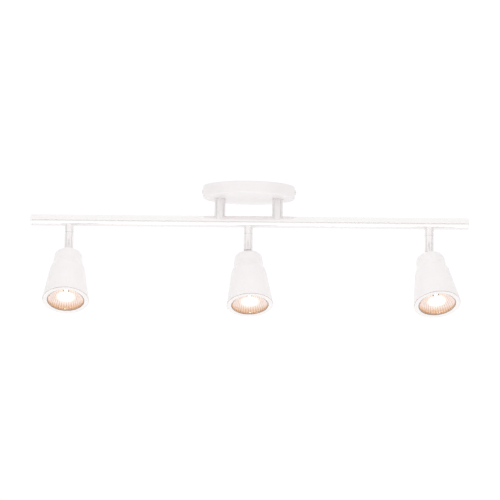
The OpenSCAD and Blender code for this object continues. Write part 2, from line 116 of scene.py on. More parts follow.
def revolve(name, outline, matrix, steps=128, wave=None, lift=None, sharp=28, closed=True):
    """Turns a closed (radius, height) outline about +Z. wave(angle, index) adds to the radius
    and lift(radius, angle, index) to the height. Points on the axis become one vertex each."""
    verts, rings = [], []
    for index, (radius, height) in enumerate(outline):
        if radius < 1e-7:
            rings.append([len(verts)] * steps)
            verts.append((0, 0, height))
            continue
        start = len(verts)
        for k in range(steps):
            angle = 2 * math.pi * k / steps
            r = radius + (wave(angle, index) if wave else 0)
            z = height + (lift(radius, angle, index) if lift else 0)
            verts.append((r * math.cos(angle), r * math.sin(angle), z))
        rings.append(list(range(start, start + steps)))
    faces = []
    spans = len(rings) if closed else len(rings) - 1
    for i in range(spans):
        a, b = rings[i], rings[(i + 1) % len(rings)]
        if a[0] == a[1] and b[0] == b[1]:
            continue
        for k in range(steps):
            n = (k + 1) % steps
            quad = [a[k], a[n], b[n], b[k]]
            faces.append([v for j, v in enumerate(quad) if v not in quad[:j]])
    obj = new_object(name, verts, faces, matrix)
    shade_by_angle(obj, sharp)
    return obj


def arc(centre, radius, start, end, steps=6):
    """Points of an arc in the (radius, height) plane, angles in degrees. radius may be a pair."""
    rx, ry = radius if isinstance(radius, tuple) else (radius, radius)
    points = []
    for k in range(steps + 1):
        angle = math.radians(start + (end - start) * k / steps)
        points.append((centre[0] + rx * math.cos(angle), centre[1] + ry * math.sin(angle)))
    return points


def sweep(name, path, radius, matrix=None, sides=12, closed_ends=True):
    """A round bar swept along a list of points with parallel-carried rings."""
    points = [Vector(p) for p in path]
    normal = None
    verts, faces = [], []
    for i, p in enumerate(points):
        ahead = points[min(i + 1, len(points) - 1)]
        behind = points[max(i - 1, 0)]
        tangent = (ahead - behind).normalized()
        if normal is None:
            normal = tangent.orthogonal().normalized()
        normal = (normal - tangent * normal.dot(tangent)).normalized()
        across = tangent.cross(normal)
        for k in range(sides):
            angle = 2 * math.pi * k / sides
            verts.append(p + (normal * math.cos(angle) + across * math.sin(angle)) * radius)
    for i in range(len(points) - 1):
        for k in range(sides):
            n = (k + 1) % sides
            a, b = i * sides, (i + 1) * sides
            faces.append((a + k, a + n, b + n, b + k))
    if closed_ends:
        faces.append(tuple(reversed(range(sides))))
        faces.append(tuple(range(len(verts) - sides, len(verts))))
    obj = new_object(name, verts, faces, matrix)
    shade_by_angle(obj, 40)
    return obj


def add_piece(obj, body, material, replaces=()):
    """Gives a piece its material and body, and hides the CAD nodes it stands for."""
    obj.data.materials.clear()
    obj.data.materials.append(material)
    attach(obj, body)
    if replaces:
        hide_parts(*replaces)
    return obj


def dress(node, material):
    """Gives a CAD node its material."""
    obj = frame["nodes"][node]
    obj.data.materials.clear()
    obj.data.materials.append(material)


# ---------------------------------------------------------------- materials

def node_material(name):
    """A material with its node tree and Principled shader."""
    material = bpy.data.materials.new(name)
    material.use_nodes = True
    shader = material.node_tree.nodes["Principled BSDF"]
    return material, material.node_tree, shader


def add_node(tree, kind, **settings):
    """A node with its properties and unlinked inputs set by name."""
    node = tree.nodes.new(kind)
    for key, value in settings.items():
        if hasattr(node, key):
            setattr(node, key, value)
        else:
            node.inputs[key.replace("_", " ").title()].default_value = value
    return node


def object_noise(tree, scale, detail=3.0, roughness=0.55, stretch=(1, 1, 1)):
    """Noise on the object's own coordinates, in metres."""
    coords = add_node(tree, "ShaderNodeTexCoord")
    mapping = add_node(tree, "ShaderNodeMapping")
    mapping.inputs["Scale"].default_value = stretch
    noise = add_node(tree, "ShaderNodeTexNoise")
    noise.inputs["Scale"].default_value = scale
    noise.inputs["Detail"].default_value = detail
    noise.inputs["Roughness"].default_value = roughness
    tree.links.new(coords.outputs["Object"], mapping.inputs["Vector"])
    tree.links.new(mapping.outputs["Vector"], noise.inputs["Vector"])
    return noise.outputs["Fac"]


def ramp(tree, factor, stops):
    """A colour ramp; each stop is (position, colour), a colour being a grey or an RGB."""
    node = add_node(tree, "ShaderNodeValToRGB")
    elements = node.color_ramp.elements
    while len(elements) < len(stops):
        elements.new(0.5)
    for element, (position, colour) in zip(elements, stops):
        element.position = position
        rgb = colour if isinstance(colour, tuple) else (colour,) * 3
        element.color = (*rgb, 1)
    tree.links.new(factor, node.inputs["Fac"])
    return node.outputs["Color"]


def bump(tree, shader, height, strength, distance):
    """Bump from a height output."""
    node = add_node(tree, "ShaderNodeBump")
    node.inputs["Strength"].default_value = strength
    node.inputs["Distance"].default_value = distance
    tree.links.new(height, node.inputs["Height"])
    tree.links.new(node.outputs["Normal"], shader.inputs["Normal"])


def powder_coat(name, colour, roughness, coat, metallic=0.0, peel=0.12):
    """Sprayed finish: orange-peel bump, faint tone drift and gloss that varies a little."""
    material, tree, shader = node_material(name)
    drift = object_noise(tree, 35, 2)
    dark = tuple(c * 0.985 for c in colour)
    tree.links.new(ramp(tree, drift, [(0.35, dark), (0.65, colour)]), shader.inputs["Base Color"])
    gloss = object_noise(tree, 160, 4)
    tree.links.new(ramp(tree, gloss, [(0.3, roughness * 0.9), (0.7, roughness * 1.15)]),
                   shader.inputs["Roughness"])
    shader.inputs["Metallic"].default_value = metallic
    shader.inputs["Coat Weight"].default_value = coat
    shader.inputs["Coat Roughness"].default_value = 0.12
    bump(tree, shader, object_noise(tree, 1500, 2, 0.5), peel, 0.00003)
    return material


def plated_steel(name, colour, roughness, grain=(1, 1, 1), streak=0.12):
    """Plated steel with fine drawing marks along one axis and cloudy plate."""
    material, tree, shader = node_material(name)
    cloud = object_noise(tree, 220, 4, 0.6)
    dull = tuple(c * 0.82 for c in colour)
    tree.links.new(ramp(tree, cloud, [(0.35, dull), (0.62, colour)]), shader.inputs["Base Color"])
    marks = object_noise(tree, 900, 3, 0.6, grain)
    tree.links.new(ramp(tree, marks, [(0.3, roughness - 0.08), (0.7, roughness + streak)]),
                   shader.inputs["Roughness"])
    shader.inputs["Metallic"].default_value = 1.0
    bump(tree, shader, marks, 0.15, 0.00003)
    return material


def fired_ceramic(name, colour):
    """Unglazed steatite: chalky with fine pores and specks."""
    material, tree, shader = node_material(name)
    specks = object_noise(tree, 1300, 5, 0.7)
    dark = tuple(c * 0.8 for c in colour)
    tree.links.new(ramp(tree, specks, [(0.3, dark), (0.45, colour)]), shader.inputs["Base Color"])
    rough = object_noise(tree, 400, 3)
    tree.links.new(ramp(tree, rough, [(0.3, 0.55), (0.7, 0.75)]), shader.inputs["Roughness"])
    bump(tree, shader, specks, 0.3, 0.00006)
    return material


def moulded_plastic(name, colour, roughness, grain=900):
    """Moulded plastic with a fine spark-eroded grain."""
    material, tree, shader = node_material(name)
    drift = object_noise(tree, 60, 2)
    dark = tuple(c * 0.96 for c in colour)
    tree.links.new(ramp(tree, drift, [(0.3, dark), (0.7, colour)]), shader.inputs["Base Color"])
    grain_out = object_noise(tree, grain, 3)
    tree.links.new(ramp(tree, grain_out, [(0.3, roughness - 0.05), (0.7, roughness + 0.08)]),
                   shader.inputs["Roughness"])
    bump(tree, shader, grain_out, 0.15, 0.00004)
    return material


def clear_glass(name, colour, roughness=0.0, ior=1.45):
    """Thin clear glass with the faintest ripple."""
    material, tree, shader = node_material(name)
    shader.inputs["Base Color"].default_value = (*colour, 1)
    shader.inputs["Roughness"].default_value = roughness
    shader.inputs["IOR"].default_value = ior
    shader.inputs["Transmission Weight"].default_value = 1.0
    ripple = object_noise(tree, 140, 2)
    bump(tree, shader, ripple, 0.03, 0.0001)
    return material


def glowing(name, colour, strength):
    """An incandescent surface with a slightly uneven glow."""
    material, tree, shader = node_material(name)
    shader.inputs["Base Color"].default_value = (0.6, 0.5, 0.4, 1)
    shader.inputs["Roughness"].default_value = 0.5
    uneven = object_noise(tree, 700, 2)
    dim = tuple(c * 0.9 for c in colour)
    tree.links.new(ramp(tree, uneven, [(0.3, dim), (0.7, colour)]), shader.inputs["Emission Color"])
    shader.inputs["Emission Strength"].default_value = strength
    return material


# The lit reflector's painted glow: painted reflected light, peach near the rim and paler deeper in
# the bowl, with painted shade at its very edge and in lines between its facets
FLUTES = 40
GLOW_RIM = (0.60, 0.31, 0.155)
GLOW_MID = (0.72, 0.46, 0.30)
GLOW_DEEP = (0.80, 0.72, 0.70)
GLOW_EDGE_SHADE = (0.42, 0.25, 0.15)


def lit_reflector(name, deepest, rim_radius):
    """Mirror-coated glass seen lit, as painted glow: paler deeper in the bowl and towards its -Y
    side, darker in lines between the facets.
    """
    material, tree, shader = node_material(name)
    coords = add_node(tree, "ShaderNodeTexCoord")
    split = add_node(tree, "ShaderNodeSeparateXYZ")
    tree.links.new(coords.outputs["Object"], split.inputs["Vector"])

    depth = add_node(tree, "ShaderNodeMapRange")
    depth.inputs["From Max"].default_value = deepest
    tree.links.new(split.outputs["Z"], depth.inputs["Value"])
    # Painted light falling unevenly: the glow is paler towards the bowl's -Y side.
    side_painted_light = add_node(tree, "ShaderNodeMapRange")
    side_painted_light.inputs["From Min"].default_value = rim_radius
    side_painted_light.inputs["From Max"].default_value = -rim_radius
    side_painted_light.inputs["To Max"].default_value = 0.42
    tree.links.new(split.outputs["Y"], side_painted_light.inputs["Value"])
    spread = add_node(tree, "ShaderNodeMath", operation="ADD")
    tree.links.new(depth.outputs["Result"], spread.inputs[0])
    tree.links.new(side_painted_light.outputs["Result"], spread.inputs[1])
    colour = ramp(tree, spread.outputs[0],
                  [(0.05, GLOW_EDGE_SHADE), (0.07, GLOW_RIM), (0.22, GLOW_MID), (0.34, GLOW_DEEP)])

    # Painted shade in lines between the facets.
    angle = add_node(tree, "ShaderNodeMath", operation="ARCTAN2")
    tree.links.new(split.outputs["Y"], angle.inputs[0])
    tree.links.new(split.outputs["X"], angle.inputs[1])
    turns = add_node(tree, "ShaderNodeMath", operation="MULTIPLY")
    turns.inputs[1].default_value = FLUTES / 2
    tree.links.new(angle.outputs[0], turns.inputs[0])
    wave = add_node(tree, "ShaderNodeMath", operation="SINE")
    tree.links.new(turns.outputs[0], wave.inputs[0])
    fold = add_node(tree, "ShaderNodeMath", operation="ABSOLUTE")
    tree.links.new(wave.outputs[0], fold.inputs[0])
    facet_painted_shade = ramp(tree, fold.outputs[0], [(0.0, 0.4), (0.5, 0.93), (1.0, 1.04)])

    mottle = object_noise(tree, 420, 3)
    patches = ramp(tree, mottle, [(0.3, 0.88), (0.7, 1.0)])
    facet_shaded_glow = add_node(tree, "ShaderNodeMix", data_type="RGBA", blend_type="MULTIPLY")
    facet_shaded_glow.inputs["Factor"].default_value = 1.0
    tree.links.new(colour, facet_shaded_glow.inputs[6])
    tree.links.new(facet_painted_shade, facet_shaded_glow.inputs[7])
    patched = add_node(tree, "ShaderNodeMix", data_type="RGBA", blend_type="MULTIPLY")
    patched.inputs["Factor"].default_value = 1.0
    tree.links.new(facet_shaded_glow.outputs[2], patched.inputs[6])
    tree.links.new(patches, patched.inputs[7])
    tree.links.new(patched.outputs[2], shader.inputs["Emission Color"])
    shader.inputs["Emission Strength"].default_value = 1.0
    tree.links.new(ramp(tree, mottle, [(0.3, (0.22, 0.15, 0.10)), (0.7, (0.30, 0.21, 0.15))]),
                   shader.inputs["Base Color"])
    shader.inputs["Metallic"].default_value = 1.0
    shader.inputs["Roughness"].default_value = 0.3
    return material


def glare_glow_disc(name, radius):
    """A glowing disc of painted glare: white in the middle, fading clear towards its edge."""
    material, tree, shader = node_material(name)
    coords = add_node(tree, "ShaderNodeTexCoord")
    flat = add_node(tree, "ShaderNodeVectorMath", operation="MULTIPLY")
    flat.inputs[1].default_value = (1, 1, 0)
    tree.links.new(coords.outputs["Object"], flat.inputs[0])
    length = add_node(tree, "ShaderNodeVectorMath", operation="LENGTH")
    tree.links.new(flat.outputs[0], length.inputs[0])
    across = add_node(tree, "ShaderNodeMapRange")
    across.inputs["From Max"].default_value = radius
    tree.links.new(length.outputs["Value"], across.inputs["Value"])
    grain = object_noise(tree, 1100, 3)
    glare_fade = add_node(tree, "ShaderNodeMath", operation="MULTIPLY")
    tree.links.new(ramp(tree, across.outputs["Result"],
                        [(0.0, 1.0), (0.45, 0.95), (0.75, 0.4), (1.0, 0.0)]),
                   glare_fade.inputs[0])
    tree.links.new(ramp(tree, grain, [(0.2, 0.9), (0.6, 1.0)]), glare_fade.inputs[1])
    tree.links.new(glare_fade.outputs[0], shader.inputs["Alpha"])
    tree.links.new(ramp(tree, across.outputs["Result"],
                        [(0.0, (1.0, 0.99, 0.97)), (0.7, (1.0, 0.97, 0.93)),
                         (1.0, (1.0, 0.86, 0.70))]), shader.inputs["Emission Color"])
    shader.inputs["Emission Strength"].default_value = 1.0
    shader.inputs["Base Color"].default_value = (0.5, 0.5, 0.5, 1)
    shader.inputs["Roughness"].default_value = 0.6
    bump(tree, shader, grain, 0.2, 0.00005)
    return material


BODY_WHITE = (0.94, 0.903, 0.905)
TUBE_WHITE = (0.935, 0.90, 0.895)
BAR_WHITE = (0.93, 0.90, 0.90)
# The canopy's coat is the body's white made darker: painted shade.
CANOPY_WHITE_SHADED = (0.90, 0.862, 0.866)
# The posts' lacquer is the tubes' lacquer made darker: painted shade from the canopy above.
POST_WHITE_SHADED = (0.86, 0.835, 0.83)
WHITE_COAT = powder_coat("white_powder_coat", BODY_WHITE, 0.42, 0.15)
TUBE_COAT = powder_coat("white_gloss_lacquer", TUBE_WHITE, 0.14, 0.3, metallic=0.22, peel=0.01)
BAR_COAT = powder_coat("white_bar_lacquer", BAR_WHITE, 0.09, 0.5, metallic=0.55, peel=0.001)
CANOPY_COAT_SHADED = powder_coat("white_coat_canopy_shaded", CANOPY_WHITE_SHADED, 0.42, 0.15)
# Painted shade: the darker copy of the tube lacquer for the posts.
POST_COAT_SHADED = powder_coat("white_lacquer_posts_shaded", POST_WHITE_SHADED, 0.16, 0.3, metallic=0.22, peel=0.01)
BEZEL_WHITE = moulded_plastic("white_moulded_ring", (0.90, 0.875, 0.865), 0.4)
ZINC = plated_steel("bright_zinc_plate", (0.72, 0.73, 0.70), 0.34, (1, 12, 1))
NICKEL = plated_steel("nickel_plate", (0.78, 0.77, 0.74), 0.24)
GREEN_DYE = plated_steel("green_dyed_plate", (0.07, 0.36, 0.13), 0.36)
CERAMIC = fired_ceramic("fired_ceramic", (0.84, 0.81, 0.76))
BLOCK_PLASTIC = moulded_plastic("terminal_block_plastic", (0.85, 0.83, 0.78), 0.45)
BLACK_SLEEVE = moulded_plastic("black_wire_sleeve", (0.02, 0.02, 0.022), 0.35)
WHITE_SLEEVE = moulded_plastic("white_wire_sleeve", (0.80, 0.79, 0.77), 0.38)
COVER_GLASS = clear_glass("front_glass", (1.0, 0.985, 0.97))
QUARTZ = clear_glass("quartz_glass", (1.0, 1.0, 1.0), 0.02, 1.46)
FILAMENT = glowing("filament_glow", (1.0, 0.86, 0.66), 6.0)
# Dark strips in the gaps round the front ring and the lamp: painted shadow of those gaps.
GAP_SHADOW_DARK = moulded_plastic("painted_gap_shadow", (0.30, 0.22, 0.18), 0.5)


# ---------------------------------------------------------------- CAD nodes that stay

FRAME_FINISH = {
    "crossbar": ZINC,
    "canopy_screws": WHITE_COAT,
    "ground_screw": GREEN_DYE,
    "terminal_block": BLOCK_PLASTIC,
    "post_nipples": ZINC,
    "post_nuts": ZINC,
    "bar_inserts": ZINC,
    "live_wire": BLACK_SLEEVE,
    "neutral_wire": WHITE_SLEEVE,
}
HEAD_FINISH = {
    "fork": ZINC,
    "pivot_screws": NICKEL,
    "lug": ZINC,
    "socket_bracket": ZINC,
    "socket": CERAMIC,
    "head_fasteners": NICKEL,
    "bulb_base": CERAMIC,
    "bulb_pins": NICKEL,
}
for node_name, finish in FRAME_FINISH.items():
    dress(node_name, finish)
for head in HEADS:
    for piece, finish in HEAD_FINISH.items():
        dress(f"{head}_{piece}", finish)


# ---------------------------------------------------------------- canopy, posts and bar

CANOPY_WALL = 1.2 * MM
CANOPY_EDGE = 2.5 * MM
SOFT_EDGE = 0.3 * MM
POST_BORE = 4.95 * MM
BAR_WALL = 1.0 * MM
CAP_FACE = 2.5 * MM
CAP_EDGE = 0.8 * MM
PLUG_GAP = 0.05 * MM
SPIGOT = 4.9 * MM
SHAFT = 3.4 * MM
SHAFT_BORE = 2.5 * MM
FLARE = 4.6 * MM
FLARE_HEIGHT = 1.0 * MM
STEM_WALL = 1.0 * MM
STEM_HEAD = 4.5 * MM
STEM_GAP = 0.15 * MM
ALONG_X = Matrix.Rotation(math.radians(90), 4, "Y")
BAR_LOW, BAR_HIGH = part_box("bar_tube")
BAR_RADIUS = (BAR_HIGH[2] - BAR_LOW[2]) / 2
BAR_Z = (BAR_HIGH[2] + BAR_LOW[2]) / 2


def make_canopy():
    """The spun cup: a folded upper rim, a rounded lower edge and a flat underside."""
    low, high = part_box("canopy")
    radius, depth = high[0], low[2]
    inner = radius - CANOPY_WALL
    outline = arc((radius - SOFT_EDGE, high[2] - SOFT_EDGE), SOFT_EDGE, 90, 0, 3)
    outline += arc((radius - CANOPY_EDGE, depth + CANOPY_EDGE), CANOPY_EDGE, 0, -90, 10)
    outline += [(radius * 0.5, depth), (0.0, depth), (0.0, depth + CANOPY_WALL)]
    outline += arc((inner - CANOPY_EDGE / 2, depth + CANOPY_WALL + CANOPY_EDGE / 2),
                   CANOPY_EDGE / 2, -90, 0, 6)
    outline += [(inner, high[2])]
    obj = revolve("canopy_shell", outline, Matrix.Identity(4), 192)
    add_piece(obj, "frame", CANOPY_COAT_SHADED, ["canopy"])


def saddle(sign, rows):
    """Lifts the outline points numbered in rows onto the bar's surface, above or below it."""
    def lift(radius, angle, index):
        if index not in rows:
            return 0.0
        across = radius * math.sin(angle)
        return sign * math.sqrt(BAR_RADIUS ** 2 - across ** 2)
    return lift


def make_post(node):
    """A post's tube: a chamfered end under the canopy and a saddle cut on the bar."""
    low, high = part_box(node)
    radius = (high[0] - low[0]) / 2
    centre = (high[0] + low[0]) / 2
    top = high[2]
    outline = [(POST_BORE, top), (radius - SOFT_EDGE, top), (radius, top - SOFT_EDGE),
               (radius, BAR_Z), (POST_BORE, BAR_Z)]
    obj = revolve(f"{node}_tube", outline, Matrix.Translation((centre, 0, 0)), 96,
                  lift=saddle(1, (3, 4)))
    add_piece(obj, "frame", POST_COAT_SHADED, [node])


def make_bar():
    """The bar's tube, and in each end a cap with a rounded face and a fine shadow line."""
    half = BAR_HIGH[0]
    bore = BAR_RADIUS - BAR_WALL
    lip = SOFT_EDGE / 3
    outline = [(bore, -half), (BAR_RADIUS - lip, -half), (BAR_RADIUS, -half + lip),
               (BAR_RADIUS, half - lip), (BAR_RADIUS - lip, half), (bore, half)]
    frame_of_bar = Matrix.Translation((0, 0, BAR_Z)) @ ALONG_X
    obj = revolve("bar_shell", outline, frame_of_bar, 128)
    add_piece(obj, "frame", BAR_COAT, ["bar_tube"])
    for node, side in (("left_end_cap", -1), ("right_end_cap", 1)):
        low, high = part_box(node)
        reach = high[0] - low[0]
        plug = reach - CAP_FACE
        outline = [(0.0, 0.0), (bore - PLUG_GAP - SOFT_EDGE, 0.0), (bore - PLUG_GAP, SOFT_EDGE),
                   (bore - PLUG_GAP, plug), (BAR_RADIUS - lip, plug), (BAR_RADIUS, plug + lip)]
        outline += arc((BAR_RADIUS - CAP_EDGE, reach - CAP_EDGE), CAP_EDGE, 0, 90, 6)
        outline += [(BAR_RADIUS / 2, reach), (0.0, reach)]
        start = low[0] if side > 0 else high[0]
        spin = ALONG_X if side > 0 else Matrix.Rotation(math.radians(-90), 4, "Y")
        obj = revolve(f"{node}_plug", outline, Matrix.Translation((start, 0, BAR_Z)) @ spin, 96,
                      closed=False)
        add_piece(obj, "frame", BAR_COAT, [node])


def make_collar(head):
    """The sleeve under the bar: its top is saddle-cut, its spigot goes into the bar."""
    low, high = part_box(f"{head}_collar")
    radius = (high[0] - low[0]) / 2
    centre = (high[0] + low[0]) / 2
    bore = SHAFT + PLUG_GAP
    outline = [(bore, low[2]), (radius - SOFT_EDGE / 2, low[2]), (radius, low[2] + SOFT_EDGE / 2),
               (radius, BAR_Z), (SPIGOT, BAR_Z), (SPIGOT, high[2]), (bore, high[2])]
    obj = revolve(f"{head}_collar_sleeve", outline, Matrix.Translation((centre, 0, 0)), 96,
                  lift=saddle(-1, (3, 4)))
    add_piece(obj, "frame", TUBE_COAT, [f"{head}_collar"])


def make_stem(head):
    """The turning stem: a hollow rim below, and above it the flared shaft that carries it."""
    low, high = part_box(f"{head}_stem")
    radius = (high[0] - low[0]) / 2
    centre = (high[0] + low[0]) / 2
    shoulder_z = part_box(f"{head}_collar")[0][2] - STEM_GAP
    floor_z = shoulder_z - STEM_HEAD
    inner = radius - STEM_WALL
    flare_z = high[2] - FLARE_HEIGHT
    rim = low[2]
    outline = [(inner, rim + 1.5 * SOFT_EDGE), (inner + SOFT_EDGE, rim)]
    outline += arc((radius - SOFT_EDGE, rim + SOFT_EDGE), SOFT_EDGE, -90, 0, 3)
    outline += [(radius, shoulder_z - SOFT_EDGE / 2), (radius - SOFT_EDGE / 2, shoulder_z),
                (SHAFT, shoulder_z), (SHAFT, flare_z), (FLARE, flare_z), (FLARE, high[2]),
                (SHAFT_BORE, high[2]), (SHAFT_BORE, floor_z), (inner, floor_z)]
    obj = revolve(f"{head}_stem_tube", outline, Matrix.Translation((centre, 0, 0)), 96)
    add_piece(obj, f"{head}_arm", TUBE_COAT, [f"{head}_stem"])


make_canopy()
make_post("left_post")
make_post("right_post")
make_bar()
for head in HEADS:
    make_collar(head)
    make_stem(head)


# ---------------------------------------------------------------- heads

SHADE_WALL = 1.2 * MM
RIM_ROUND = 0.2 * MM
RING_PROUD = 0.5 * MM
LIP_GAP = 0.5 * MM
SKIRT_INSET = 2.25 * MM
CONE_TOP = (24.2 * MM, 50.5 * MM)
NECK_FOOT = (20.35 * MM, 61.5 * MM)
CROWN_FOOT = (19.6 * MM, 72.6 * MM)
CROWN_FLAT = 12.0 * MM
STUD_HOLE = 3.4 * MM
REFLECTOR_GLOW = {}


def shoulder(inset, steps=14):
    """The S-shaped shoulder between the cone and the neck, set in by a wall."""
    corners = [Vector(CONE_TOP), Vector((CONE_TOP[0] - 0.75 * MM, CONE_TOP[1] + 4.6 * MM)),
               Vector((NECK_FOOT[0] + 0.35 * MM, NECK_FOOT[1] - 4.8 * MM)), Vector(NECK_FOOT)]
    weights = ((1, 3, 0), (3, 2, 1), (3, 1, 2), (1, 0, 3))
    points = []
    for k in range(steps + 1):
        t = k / steps
        p = Vector((0, 0))
        for corner, (count, fall, rise) in zip(corners, weights):
            p += corner * count * (1 - t) ** fall * t ** rise
        points.append((p.x - inset, p.y))
    return points


def make_shade(head, matrix):
    """The bullet-shaped shell: a rolled rim, a cone, a shoulder, a neck and a crown."""
    mouth, low, top = local_extent(f"{head}_shade", matrix)
    crown = (CROWN_FOOT[0] - CROWN_FLAT, top - CROWN_FOOT[1])
    outer = arc((mouth - RIM_ROUND, low + RIM_ROUND), RIM_ROUND, -90, 0, 4)
    outer += shoulder(0)
    outer += arc((CROWN_FLAT, CROWN_FOOT[1]), crown, 0, 90, 16)
    inner_crown = (crown[0] - SHADE_WALL, crown[1] - SHADE_WALL)
    inner = arc((CROWN_FLAT, CROWN_FOOT[1]), inner_crown, 90, 0, 12)
    inner += list(reversed(shoulder(SHADE_WALL)))
    inner += [(mouth - SHADE_WALL, low)]
    hole = [(STUD_HOLE, top), (STUD_HOLE, top - SHADE_WALL)]
    obj = revolve(f"{head}_shade_shell", outer + hole + inner, matrix, 160)
    add_piece(obj, f"{head}_head", WHITE_COAT, [f"{head}_shade"])
    return mouth


def make_bezel(head, matrix, lamp_radius):
    """The front ring, with a rounded lip next to the lamp and a skirt inside the shade, and thin dark
    strips of painted gap shadow by its outer edge and by its lip.
    """
    outer, face, high = local_extent(f"{head}_bezel", matrix)
    lip = lamp_radius + LIP_GAP
    edge = RIM_ROUND
    skirt = outer - SKIRT_INSET
    outline = arc((lip + edge, face + edge), edge, 180, 270, 4)
    outline += arc((outer - edge, face + edge), edge, -90, 0, 4)
    outline += [(outer, face + RING_PROUD), (outer - 0.8 * MM, face + RING_PROUD),
                (outer - 0.8 * MM, face + 1.5 * MM),
                (skirt, face + 1.7 * MM), (skirt, high - 1.7 * MM),
                (skirt + 0.6 * MM, high - 1.1 * MM), (skirt, high - 0.5 * MM), (skirt, high),
                (skirt - 1.0 * MM, high), (skirt - 1.0 * MM, face + 1.7 * MM),
                (lip + 1.0 * MM, face + 1.7 * MM), (lip + 1.0 * MM, face + 3.0 * MM),
                (lip, face + 3.0 * MM)]
    obj = revolve(f"{head}_front_ring", outline, matrix, 160)
    add_piece(obj, f"{head}_head", BEZEL_WHITE, [f"{head}_bezel"])

    # Painted shadow: thin dark strips in the gap between the ring and the shade's rim, and in the gap
    # next to the lamp.
    band = 0.02 * MM
    for name, radius, start, end in (("ring_gap_shadow", outer + band, face + 0.12 * MM, RING_PROUD),
                                     ("lip_gap_shadow", lip - band, face + 0.3 * MM, 0.55 * MM)):
        outline = [(radius - 0.12 * MM, start), (radius, start), (radius, end),
                   (radius - 0.12 * MM, end)]
        obj = revolve(f"{head}_{name}", outline, matrix, 160)
        add_piece(obj, f"{head}_head", GAP_SHADOW_DARK)


BOWL_WALL = 1.5 * MM
BOWL_RIM = 4.0 * MM
BOWL_END = 34.0 * MM
BOWL_NECK = 8.5 * MM
FLUTE_DEPTH = 0.35 * MM


def make_reflector(head, matrix):
    """The lamp's glass bowl: smooth outside, fluted inside."""
    rim, low, top = local_extent(f"{head}_bulb_reflector", matrix)
    body = f"{head}_lamp"

    def bowl(height, inset):
        fall = (BOWL_END - height) / (BOWL_END - BOWL_RIM)
        return math.sqrt(BOWL_NECK ** 2 + (rim ** 2 - BOWL_NECK ** 2) * fall) - inset

    steps = 22
    heights = [BOWL_RIM + (BOWL_END - BOWL_RIM) * k / steps for k in range(steps + 1)]
    outer = arc((rim - 0.4 * MM, low + 0.4 * MM), 0.4 * MM, -90, 0, 3)
    outer += [(bowl(h, 0), h) for h in heights] + [(BOWL_NECK, top)]
    inner = [(BOWL_NECK - BOWL_WALL, top)]
    inner += [(bowl(h, BOWL_WALL), h) for h in reversed(heights)]
    ledge = [(rim - BOWL_WALL - 0.2 * MM, BOWL_RIM - 0.9 * MM), (rim - 1.2 * MM, BOWL_RIM - 0.9 * MM),
             (rim - 1.2 * MM, low + 0.2 * MM), (rim - 1.0 * MM, low)]
    first_fluted = len(outer) + 1
    last_fluted = first_fluted + len(heights) - 1

    def flutes(angle, index):
        if not first_fluted <= index <= last_fluted:
            return 0.0
        fade = min(1.0, (index - first_fluted) / 8)
        return FLUTE_DEPTH * fade * (abs(math.sin(angle * FLUTES / 2)) - 1)

    obj = revolve(f"{head}_lamp_bowl", outer + inner + ledge, matrix, FLUTES * 8, flutes, sharp=60)
    if "bowl" not in REFLECTOR_GLOW:
        REFLECTOR_GLOW["bowl"] = lit_reflector("lit_reflector", BOWL_END, rim)
    add_piece(obj, body, REFLECTOR_GLOW["bowl"], [f"{head}_bulb_reflector"])

    # Painted shadow: a thin dark strip round the lamp's rim stands for the shadow in the gap between
    # the lamp and the front ring.
    gap_shadow_low = low - 0.02 * MM
    gap_shadow_outline = [(rim - 0.6 * MM, gap_shadow_low + 0.2 * MM), (rim - 0.5 * MM, gap_shadow_low),
            (rim - 0.3 * MM, gap_shadow_low), (rim - 0.02 * MM, gap_shadow_low + 0.3 * MM),
            (rim + 0.12 * MM, gap_shadow_low + 0.6 * MM), (rim + 0.12 * MM, BOWL_RIM),
            (rim + 0.01 * MM, BOWL_RIM), (rim + 0.01 * MM, gap_shadow_low + 0.6 * MM),
            (rim - 0.6 * MM, gap_shadow_low + 0.6 * MM)]
    obj = revolve(f"{head}_lamp_rim_gap_shadow", gap_shadow_outline, matrix, 160)
    add_piece(obj, body, GAP_SHADOW_DARK)
    return rim


LENS_RADIUS = 14.5 * MM
LENS_GAP = 3.4 * MM
LENS_DEPTH = 1.4 * MM
# Painted glare: a glowing disc behind the front glass.
GLARE_GLOW_DISC = glare_glow_disc("glare_glow_disc", LENS_RADIUS)


def make_cover(head, matrix):
    """The front glass, a shallow dome with ground edges, and behind it a glowing disc of painted
    glare.
    """
    radius, low, high = local_extent(f"{head}_bulb_cover", matrix)
    steps = 8
    dome = 0.35 * MM
    front = [(radius * k / steps, low + dome * (k / steps) ** 2) for k in range(steps)]
    front += [(radius - 0.5 * MM, low + dome), (radius, low + dome + 0.4 * MM), (radius, high)]
    back = [(radius * (1 - k / steps), high) for k in range(1, steps + 1)]
    obj = revolve(f"{head}_front_glass", front + back, matrix, 128, closed=False)
    add_piece(obj, f"{head}_lamp", COVER_GLASS, [f"{head}_bulb_cover"])

    back_of_lens = [(LENS_RADIUS * k / steps, high + LENS_GAP + LENS_DEPTH * (1 - (k / steps) ** 2))
                    for k in range(steps)]
    front_of_lens = [(LENS_RADIUS * k / steps, high + LENS_GAP) for k in range(steps, -1, -1)]
    obj = revolve(f"{head}_glare_glow_disc", back_of_lens + front_of_lens, matrix, 96, closed=False)
    add_piece(obj, f"{head}_lamp", GLARE_GLOW_DISC)


